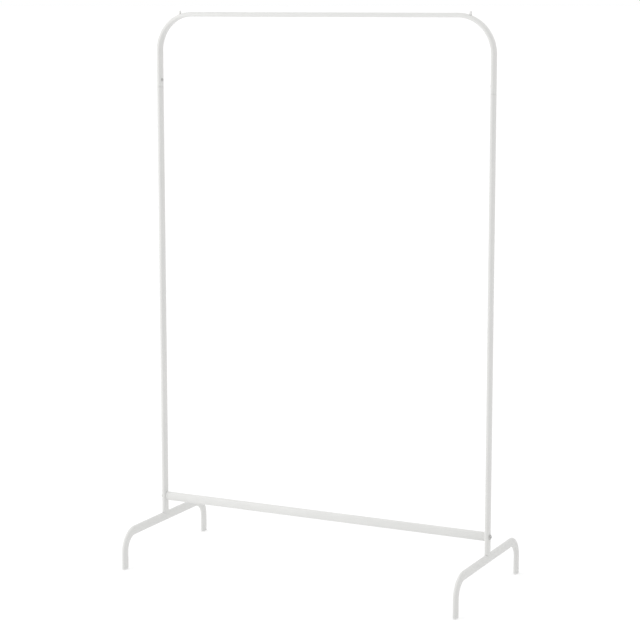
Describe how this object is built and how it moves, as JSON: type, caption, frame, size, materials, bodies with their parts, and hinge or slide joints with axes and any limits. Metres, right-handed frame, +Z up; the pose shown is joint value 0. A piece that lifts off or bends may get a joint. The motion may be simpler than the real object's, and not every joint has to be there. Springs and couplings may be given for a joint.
{
  "type": "clothes rack",
  "caption": "Free-standing clothes rack: a bent oval-tube hanging rail on two uprights, an oval lower crossbar and hoop feet on plastic caps.",
  "frame": {"origin": "on the floor under the middle of the rack", "axes": "+X along the hanging rail to the right, +Y from front to back, +Z up"},
  "size_m": [0.9978, 0.46, 1.5194],
  "materials": {
    "powder_coated_steel": "satin white powder coat",
    "white_plastic": "moulded, satin",
    "zinc_plated_steel": "bright zinc plating"
  },
  "bodies": {
    "root": {"top_rail": "powder_coated_steel", "crossbar": "powder_coated_steel", "hanger_stop_left": "white_plastic", "upright_left": "powder_coated_steel", "joint_screw_left": "zinc_plated_steel", "joint_nut_left": "zinc_plated_steel", "foot_tube_left": "powder_coated_steel", "foot_spigot_left": "powder_coated_steel", "crossbar_end_plug_left": "white_plastic", "crossbar_nut_left": "zinc_plated_steel", "crossbar_screw_left": "zinc_plated_steel", "foot_cap_front_left": "white_plastic", "foot_cap_back_left": "white_plastic", "hanger_stop_right": "white_plastic", "upright_right": "powder_coated_steel", "joint_screw_right": "zinc_plated_steel", "joint_nut_right": "zinc_plated_steel", "foot_tube_right": "powder_coated_steel", "foot_spigot_right": "powder_coated_steel", "crossbar_end_plug_right": "white_plastic", "crossbar_nut_right": "zinc_plated_steel", "crossbar_screw_right": "zinc_plated_steel", "foot_cap_front_right": "white_plastic", "foot_cap_back_right": "white_plastic"}
  },
  "joints": []
}
